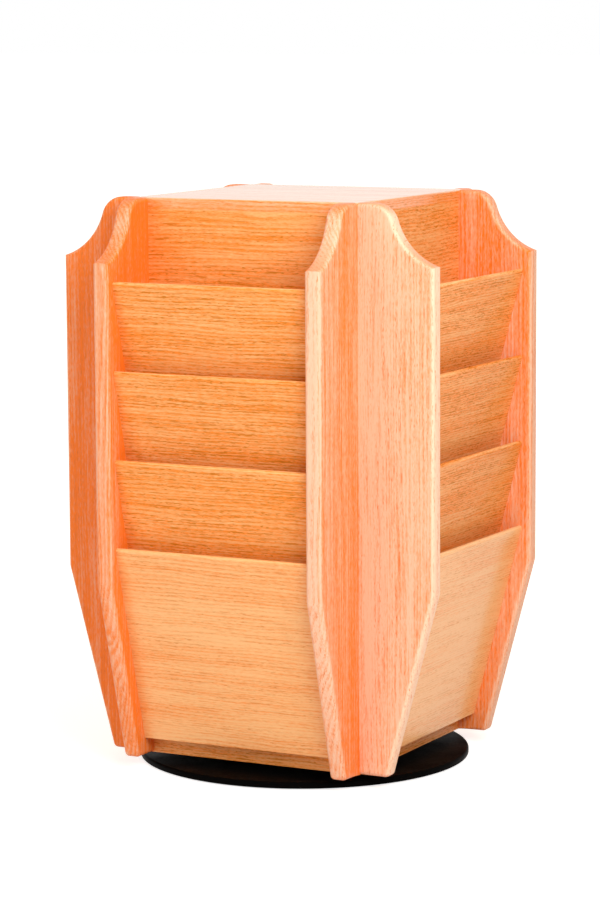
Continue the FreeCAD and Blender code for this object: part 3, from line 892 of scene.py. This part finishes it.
@dataclass
class SidePanels:
    """The eight side panels of solid oak, with rounded edges and a row of dadoes each."""

    core_face: float = 136.5 * MM       # from the axis
    stock: float = 19.0 * MM
    foot_level: float = 16.5 * MM       # levels are above the table
    top_level: float = 631.0 * MM
    top_underside: float = 619.0 * MM
    projection: float = 88.4 * MM       # from the core's face
    foot_projection: float = 33.6 * MM
    foot_radius: float = 5.5 * MM
    taper_top: float = 218.3 * MM
    shoulder: float = 565.4 * MM
    ogee_flat: float = 16.0 * MM        # from the core's face to the upper arc
    ogee_upper: float = 25.4 * MM       # radii of its two arcs
    ogee_lower: float = 71.4 * MM
    ogee_steps: tuple[int, int] = (14, 18)
    toe_steps: int = 6
    roundover: float = 4.8 * MM
    board_out: float = 77.8 * MM        # the lowest board's upper edge
    board_top: float = 253.5 * MM
    crown_steps: int = 12
    board_thickness: float = 6.4 * MM
    board_length: float = 227.0 * MM
    board_lean: float = math.radians(15.0)
    pitch: float = 96.1 * MM
    boards: int = POCKETS
    dado_depth: float = 6.0 * MM
    dado_clearance: float = 0.1 * MM
    dado_overrun: float = 0.5 * MM
    finish: OakFinish = SOLID_OAK
    seeds: tuple[int, int, int] = (11, 7, 3)    # the first, and the steps by bay and by side
    # Each panel's own tone, partly painted: deeper on the panels that stand in shade (painted shade) and
    # paler on the one that faces the lamps (painted sheen).
    richness: dict[tuple[Bay, Side], float] = field(default_factory=lambda: {
        (Bay.RIGHT, Side.LEFT): -0.18, (Bay.RIGHT, Side.RIGHT): 0.38, (Bay.LEFT, Side.RIGHT): 0.58,
        (Bay.FRONT, Side.LEFT): 0.60, (Bay.FRONT, Side.RIGHT): 0.40})
    # Painted shade: these panels grow darker towards the bottom and across their faces, where less light
    # falls.
    tone_lean: dict[tuple[Bay, Side], Triple] = field(default_factory=lambda: {
        (Bay.FRONT, Side.RIGHT): (6.0, 0.0, -0.4), (Bay.RIGHT, Side.LEFT): (1.5, 0.0, -0.6)})

    def front_outline(self) -> list[Point2]:
        """The outline in front of the core's face, as (out, level).

        Returns:
            The corners from the foot's rear, round the front, to the top's rear.
        """
        upper_centre = Vector((self.ogee_flat, self.top_level - self.ogee_upper))
        end = Vector((self.projection, self.shoulder))
        reach = self.ogee_upper + self.ogee_lower
        span = (end - upper_centre).length
        swing = math.acos((reach ** 2 + span ** 2 - self.ogee_lower ** 2) / (2 * reach * span))
        heading = math.atan2(end.y - upper_centre.y, end.x - upper_centre.x) + swing
        lower_centre = upper_centre + Vector((math.cos(heading), math.sin(heading))) * reach
        start = math.atan2(end.y - lower_centre.y, end.x - lower_centre.x) % FULL_TURN
        upper_steps, lower_steps = self.ogee_steps
        hollow = arc(tuple(lower_centre), self.ogee_lower, start, heading + math.pi, lower_steps)
        convex = arc(tuple(upper_centre), self.ogee_upper, heading, math.pi / 2, upper_steps)
        return ([(0.0, self.foot_level)] + self._foot_corner()
                + [(self.projection, self.taper_top)] + hollow + convex[1:] + [(0.0, self.top_level)])

    def _foot_corner(self) -> list[Point2]:
        """The rounded front corner of the foot.

        Returns:
            Its points, from the foot's level side to its sloping one.
        """
        slope = Vector((self.projection - self.foot_projection,
                        self.taper_top - self.foot_level)).normalized()
        corner = Vector((self.foot_projection, self.foot_level))
        turn = math.atan2(slope.y, slope.x)
        back = self.foot_radius * math.tan(turn / 2)
        centre = (corner.x - back, corner.y + self.foot_radius)
        return arc(centre, self.foot_radius, -math.pi / 2, -math.pi / 2 + turn, self.toe_steps)

    def outline(self, wide: bool) -> tuple[list[Point2], list[bool]]:
        """The whole outline as (y, z) for the front bay, and which of its edges are rounded.

        Args:
            wide: Whether the panel runs on behind the core's face as the core's corner.

        Returns:
            The corners, anticlockwise as seen from +X, and a flag for the edge from each.
        """
        front = [(-(self.core_face + out), level) for out, level in self.front_outline()]
        rear = []
        if wide:
            inner = -(self.core_face - self.stock)
            rear = [(-self.core_face, self.top_underside), (inner, self.top_underside),
                    (inner, self.foot_level)]
        corners = front + rear
        eased = [i < len(front) - 1 for i in range(len(corners))]
        # The front runs up at -Y, which is clockwise as seen from +X, so the list is turned round.
        corners.reverse()
        return corners, eased[:-1][::-1] + [eased[-1]]

    def dado_section(self) -> list[Point2]:
        """The section of the lowest pocket board in the front bay, grown by its clearance.

        Returns:
            The corners as (y, z).
        """
        half = self.board_thickness / 2
        down = Vector((math.sin(self.board_lean), -math.cos(self.board_lean)))
        behind = Vector((math.cos(self.board_lean), math.sin(self.board_lean)))
        crown = Vector((-(self.core_face + self.board_out) + behind.x * half, self.board_top))
        grown = half + self.dado_clearance
        round_top = arc(tuple(crown), grown, self.board_lean, self.board_lean + math.pi,
                        self.crown_steps)
        foot = crown + down * (self.board_length - half + self.dado_clearance)
        return round_top + [tuple(foot - behind * grown), tuple(foot + behind * grown)]

    def build(self, bay: Bay, side: Side, cutting: Recipe) -> Piece:
        """Builds one panel in the place of its node.

        Args:
            bay: The bay that it belongs to.
            side: Its side of the bay; the right-hand panels are the wide ones.
            cutting: The recipe that cuts its dadoes.

        Returns:
            The finished panel.
        """
        name = f"{bay.label}_{side.label}_panel"
        wide = side is Side.RIGHT
        inner = self.core_face - self.stock
        shape = rounded_slab(*self.outline(wide), self.stock, self.roundover)
        start = inner if wide else -self.core_face
        bmesh.ops.translate(shape, verts=shape.verts, vec=(start, 0.0, 0.0))
        bmesh.ops.transform(shape, matrix=bay.turn, verts=shape.verts)
        slab = finish_mesh(f"{name}_slab", shape)
        reach = (inner - self.dado_overrun, inner + self.dado_depth)
        cutter = prism(self.dado_section(), *(reach if wide else (-reach[1], -reach[0])))
        bmesh.ops.transform(cutter, matrix=bay.turn, verts=cutter.verts)
        grain = Grain.UPRIGHT_FACING_X if bay.faces_y else Grain.UPRIGHT_FACING_Y
        first, bay_step, side_step = self.seeds
        seed = first + bay_step * bay.value + side_step * side.value
        panel = cutting.apply(f"{name}_oak", slab, {
            "Model": finish_mesh(f"{name}_dado", cutter), "Pitch": Vector((0.0, 0.0, self.pitch)),
            "Count": self.boards,
            "Finish": self.finish.dress(name, grain, seed, self.richness.get((bay, side), 0.0),
                                        self.tone_lean.get((bay, side), EVEN))})
        seat(panel, "rack", name)
        return panel

    def build_all(self) -> None:
        """Builds the panels of all four bays."""
        cutting = row_of_cuts()
        for bay in Bay:
            for side in Side:
                self.build(bay, side, cutting)


@dataclass
class PocketBoards:
    """The slanting boards and the floors of the pockets, and the backs behind them."""

    boards: int = POCKETS
    lowest_finish: OakFinish = SATIN_VENEER
    upper_finish: OakFinish = OPEN_VENEER
    floor_finish: OakFinish = PLYWOOD
    upper_richness: float = 0.36
    back_richness: float = 0.24
    # A painted sheen: the right bay's lowest board is made paler.
    lowest_richness: dict[Bay, float] = field(default_factory=lambda: {Bay.RIGHT: -0.2})
    back_seed: int = 101
    board_seed: int = 211
    floor_seed: int = 311
    seed_step: int = 10

    def dress_all(self) -> None:
        """Dresses the boards of all four bays."""
        for bay in Bay:
            grain = Grain.LEVEL_FACING_Y if bay.faces_y else Grain.LEVEL_FACING_X
            back = f"{bay.label}_back"
            oak = self.upper_finish.dress(back, grain, self.back_seed + bay.value, self.back_richness)
            keep_node(back, oak, "rack")
            for number in range(1, self.boards + 1):
                place = self.seed_step * bay.value + number
                finish, richness = self.upper_finish, self.upper_richness
                if number == self.boards:
                    finish, richness = self.lowest_finish, self.lowest_richness.get(bay, 0.0)
                board = f"{bay.label}_board_{number}"
                keep_node(board, finish.dress(board, grain, self.board_seed + place, richness), "rack")
                floor = f"{bay.label}_floor_{number}"
                keep_node(floor, self.floor_finish.dress(floor, grain, self.floor_seed + place), "rack")


@dataclass
class CoreBoards:
    """The top board and the bottom board of the core."""

    top_finish: OakFinish = POLISHED_VENEER
    top_seed: int = 401
    bottom_finish: OakFinish = PLYWOOD
    bottom_seed: int = 402

    def dress_all(self) -> None:
        """Dresses both boards."""
        top = self.top_finish.dress("top_board", Grain.FLAT, self.top_seed, banded=True)
        keep_node("top_board", top, "rack")
        bottom = self.bottom_finish.dress("bottom_board", Grain.FLAT, self.bottom_seed)
        keep_node("bottom_board", bottom, "rack")


@dataclass
class BaseBoard:
    """The round black base board on its rubber pads."""

    radius: float = 185.0 * MM
    bottom: float = 1.5 * MM
    top: float = 8.5 * MM
    upper_round: float = 2.5 * MM
    lower_round: float = 1.2 * MM
    round_steps: tuple[int, int] = (7, 5)
    rim_flat: float = 0.5 * MM          # flat strip inside the rounds, which keeps faces even
    segments: int = 160
    access_radius: float = 9.5 * MM
    access_out: float = 93.34 * MM
    access_reach: tuple[float, float] = (-1.0 * MM, 10.0 * MM)
    access_segments: int = 48
    finish: PlainFinish = BLACK_GLOSS
    pads: PlainFinish = PAD_RUBBER

    def outline(self) -> list[Point2]:
        """The disc's section.

        Returns:
            Its corners from the axis underneath, round the rim and back to the axis.
        """
        upper_steps, lower_steps = self.round_steps
        lower = arc((self.radius - self.lower_round, self.bottom + self.lower_round),
                    self.lower_round, -math.pi / 2, 0.0, lower_steps)
        upper = arc((self.radius - self.upper_round, self.top - self.upper_round),
                    self.upper_round, 0.0, math.pi / 2, upper_steps)
        flat = self.radius - self.upper_round - self.rim_flat
        return ([(0.0, self.bottom), (flat, self.bottom)] + lower + upper
                + [(flat, self.top), (0.0, self.top)])

    def build(self) -> Piece:
        """Builds the disc with its access hole, and dresses the pads.

        Returns:
            The disc.
        """
        punch = lathe("access_punch", drum(self.access_radius, *self.access_reach),
                      self.access_segments)
        punch.data.transform(Matrix.Translation((0.0, self.access_out, 0.0)))
        blank = lathe("base_blank", self.outline(), self.segments)
        disc = row_of_cuts().apply("base_board_gloss", blank, {
            "Model": punch, "Pitch": Vector(EVEN), "Count": 1,
            "Finish": self.finish.dress("base_disc")})
        seat(disc, "base", "base_disc")
        keep_node("base_pads", self.pads.dress("base_pads"), "base")
        return disc


@dataclass
class PlateBearing:
    """The two plates of the bearing, with the balls, their cage and the screws between them."""

    race_radius: float = 56.0 * MM
    centre: float = 12.5 * MM
    ball_radius: float = 2.75 * MM
    ball_steps: int = 10                # from pole to pole
    ball_segments: int = 20
    balls: int = 24
    cage_half: float = 2.6 * MM
    cage_thickness: float = 0.8 * MM
    cage_segments: int = 96
    cage_hole: float = 1.925 * MM
    cage_hole_segments: int = 16
    hole_circle: float = 66.0 * math.sqrt(2.0) * MM     # 66 mm out along X and along Y
    lower_seat: float = 9.7 * MM
    upper_seat: float = 15.3 * MM
    head_radius: float = 3.6 * MM
    head_height: float = 1.9 * MM
    head_steps: int = 6
    head_skirt: float = 0.35            # straight part of the head, as a share of its height
    recess: tuple[Point2, ...] = ((0.42, 0.95), (0.2, 0.5), (0.0, 0.45))    # shares of the head
    shank_radius: float = 1.9 * MM
    shank_length: float = 1.1 * MM
    screw_segments: int = 28
    screws: int = 4
    plate_finish: PlainFinish = ZINC_STEEL
    ball_finish: PlainFinish = BALL_STEEL

    def build(self) -> None:
        """Builds what the bearing shows in the gap under the rack."""
        for plate, body in (("bearing_lower_plate", "base"), ("bearing_upper_plate", "rack")):
            keep_node(plate, self.plate_finish.dress(plate), body)
        ringed = ring_of_pieces()
        self._balls(ringed)
        self._cage()
        for name, level, way, body in (("lower_plate_screws", self.lower_seat, 1.0, "base"),
                                       ("upper_plate_screws", self.upper_seat, -1.0, "rack")):
            screws = ringed.apply(name, None, {
                "Model": self._screw(way), "Finish": self.plate_finish.dress(name),
                **self._ring(self.hole_circle, level, self.screws, FULL_TURN / 8)})
            seat(screws, body)

    @staticmethod
    def _ring(radius: float, level: float, count: int, start: float = 0.0) -> dict[str, Any]:
        """The inputs of a ring recipe whose first piece stands at start, an angle from +X."""
        return {"Radius": radius, "Level": Vector((0.0, 0.0, level)), "Count": count,
                "Start": Vector((0.0, 0.0, start))}

    def _balls(self, ringed: Recipe) -> None:
        """Builds the balls in the place of the plain ring.

        Args:
            ringed: The recipe that sets pieces round the axis.
        """
        half_round = arc((0.0, 0.0), self.ball_radius, -math.pi / 2, math.pi / 2, self.ball_steps)
        outline = [(0.0, -self.ball_radius)] + half_round[1:-1] + [(0.0, self.ball_radius)]
        balls = ringed.apply("bearing_balls", None, {
            "Model": lathe("ball_model", outline, self.ball_segments),
            "Finish": self.ball_finish.dress("bearing_balls"),
            **self._ring(self.race_radius, self.centre, self.balls)}, crease=ROUND_CREASE)
        seat(balls, "ball_ring", "bearing_ball_ring")

    def _cage(self) -> None:
        """Builds the thin ring that spaces the balls."""
        inner, outer = self.race_radius - self.cage_half, self.race_radius + self.cage_half
        low, high = self.centre - self.cage_thickness / 2, self.centre + self.cage_thickness / 2
        section = [(inner, low), (outer, low), (outer, high), (inner, high)]
        blank = lathe("cage_blank", section, self.cage_segments, closed=True)
        punch = lathe("cage_punch", drum(self.cage_hole, -self.cage_thickness, self.cage_thickness),
                      self.cage_hole_segments)
        cage = ring_of_cuts().apply("bearing_cage", blank, {
            "Model": punch, "Finish": self.ball_finish.dress("bearing_cage"),
            **self._ring(self.race_radius, self.centre, self.balls)})
        seat(cage, "ball_ring")

    def _screw(self, way: float) -> Piece:
        """A pan-head screw at the origin.

        Args:
            way: +1 with its head up, -1 with its head down.

        Returns:
            The screw's model.
        """
        dome = arc((0.0, 0.0), 1.0, 0.0, math.pi / 2, self.head_steps)
        head = [(r, self.head_skirt + (1.0 - self.head_skirt) * z) for r, z in dome[:-2]]
        outline = [(0.0, -self.shank_length), (self.shank_radius, -self.shank_length),
                   (self.shank_radius, 0.0), (self.head_radius, 0.0)]
        outline += [(self.head_radius * r, self.head_height * z) for r, z in (*head, *self.recess)]
        return lathe("screw_model", [(r, z * way) for r, z in outline], self.screw_segments)


# ---- studio ----

@dataclass(frozen=True)
class Softbox:
    """A square soft light aimed at the middle of the rack, and not mirrored in its lacquer."""

    name: str
    azimuth: float              # degrees from -Y towards +X
    elevation: float            # degrees above the floor
    reach: float                # from the rack's middle
    size: float
    power: float                # watts
    aim: Triple = (0.0, 0.0, 0.32)

    def build(self) -> None:
        """Hangs the light."""
        light = bpy.data.lights.new(self.name, "AREA")
        light.shape = "SQUARE"
        light.size = self.size
        light.energy = self.power
        side, up = math.radians(self.azimuth), math.radians(self.elevation)
        way = Vector((math.sin(side) * math.cos(up), -math.cos(side) * math.cos(up), math.sin(up)))
        lamp = bpy.data.objects.new(self.name, light)
        lamp.location = Vector(self.aim) + way * self.reach
        lamp.rotation_euler = way.to_track_quat("Z", "Y").to_euler()
        lamp.visible_glossy = False
        bpy.context.scene.collection.objects.link(lamp)


@dataclass
class Studio:
    """A pale floor, soft lights, white surroundings and the camera."""

    yaw: float = 0.4782                 # the camera's angles, and its place from the axis
    pitch: float = 0.1361
    roll: float = -0.0056
    distance: float = 3.7189
    aside: float = -0.0036
    height: float = 0.3421
    focal_pixels: float = 3330.6
    frame_height: int = 904
    sensor: float = 36.0
    floor_half: float = 40.0
    floor_cells: int = 4
    floor_grey: float = 0.72
    glow_from: float = 0.5              # distances between which the floor's glow grows
    glow_to: float = 1.6
    glow_near: float = 0.75
    warmth: Colour = (1.0, 0.70, 0.45)
    lights: tuple[Softbox, ...] = (
        Softbox("key_light", azimuth=47.0, elevation=26.0, reach=1.5, size=0.8, power=15.4),
        Softbox("fill_light", azimuth=-25.0, elevation=7.0, reach=1.5, size=0.8, power=4.8),
        Softbox("top_light", azimuth=20.0, elevation=78.0, reach=1.6, size=1.2, power=9.0))

    def build(self) -> None:
        """Builds the whole studio."""
        self._world()
        self._floor()
        for light in self.lights:
            light.build()
        self._camera()
        bpy.context.scene.view_settings.view_transform = "Standard"

    def _world(self) -> None:
        """White surroundings to the camera and in reflections, and a weak warm light elsewhere."""
        world = bpy.data.worlds.new("studio")
        world.use_nodes = True
        bpy.context.scene.world = world
        graph = Graph(world.node_tree)
        colour = graph.blend(self._shown(graph), rgba(self.warmth, Radiance.LIGHTING.value),
                             rgba(WHITE, Radiance.SEEN.value))
        backdrop = graph.put("ShaderNodeBackground", {"Color": colour, "Strength": 1.0})
        graph.put("ShaderNodeOutputWorld", {"Surface": backdrop.outputs[0]})

    @staticmethod
    def _shown(graph: Graph) -> Socket:
        """Tells the rays that show something from the rays that light it.

        Args:
            graph: The graph of the world or a material.

        Returns:
            1 for a ray from the camera, a reflection or a transmission, and 0 for the rest.
        """
        path = graph.put("ShaderNodeLightPath").outputs
        seen = graph.maths("MAXIMUM", path["Is Camera Ray"], path["Is Glossy Ray"])
        return graph.maths("MAXIMUM", seen, path["Is Transmission Ray"])

    def _floor(self) -> None:
        """A plain floor that looks white and still takes the rack's shadow."""
        shape = bmesh.new()
        bmesh.ops.create_grid(shape, x_segments=self.floor_cells, y_segments=self.floor_cells,
                              size=self.floor_half)
        floor = finish_mesh("floor", shape)
        material, graph = new_material("floor_white")
        matt = graph.put("ShaderNodeBsdfDiffuse", {"Color": rgba(WHITE, self.floor_grey)})
        place = graph.put("ShaderNodeTexCoord").outputs["Object"]
        away = graph.spread(graph.vector("LENGTH", place), self.glow_from, self.glow_to,
                            self.glow_near, 1.0)
        lift = graph.maths("MULTIPLY", self._shown(graph), away)
        glow = graph.put("ShaderNodeEmission", {"Color": rgba(WHITE), "Strength": lift})
        both = graph.put("ShaderNodeAddShader", {0: matt.outputs[0], 1: glow.outputs[0]})
        graph.put("ShaderNodeOutputMaterial", {"Surface": both.outputs[0]})
        floor.data.materials.append(material)

    def _camera(self) -> None:
        """The camera, turned and set back from the rack's middle."""
        back = Vector((math.sin(self.yaw) * math.cos(self.pitch),
                       -math.cos(self.yaw) * math.cos(self.pitch), math.sin(self.pitch)))
        right = Vector((math.cos(self.yaw), math.sin(self.yaw), 0.0))
        up = back.cross(right)
        across = right * math.cos(self.roll) + up * math.sin(self.roll)
        upward = up * math.cos(self.roll) - right * math.sin(self.roll)
        place = right * self.aside + Vector((0.0, 0.0, self.height)) + back * self.distance
        lens = bpy.data.cameras.new("camera")
        lens.sensor_fit = "VERTICAL"
        lens.sensor_height = self.sensor
        lens.lens = self.focal_pixels * self.sensor / self.frame_height
        camera = bpy.data.objects.new("camera", lens)
        columns = (across, upward, back, place)
        camera.matrix_world = Matrix([[column[row] for column in columns] for row in range(3)]
                                     + [[0.0, 0.0, 0.0, 1.0]])
        bpy.context.scene.collection.objects.link(camera)
        bpy.context.scene.camera = camera


def main() -> None:
    """Builds the rack's looks in order, from the panels down to the base, and then the studio."""
    logging.basicConfig(level=logging.INFO, format="%(name)s: %(message)s")
    SidePanels().build_all()
    PocketBoards().dress_all()
    CoreBoards().dress_all()
    BaseBoard().build()
    PlateBearing().build()
    Studio().build()


if __name__ == "__main__":
    main()
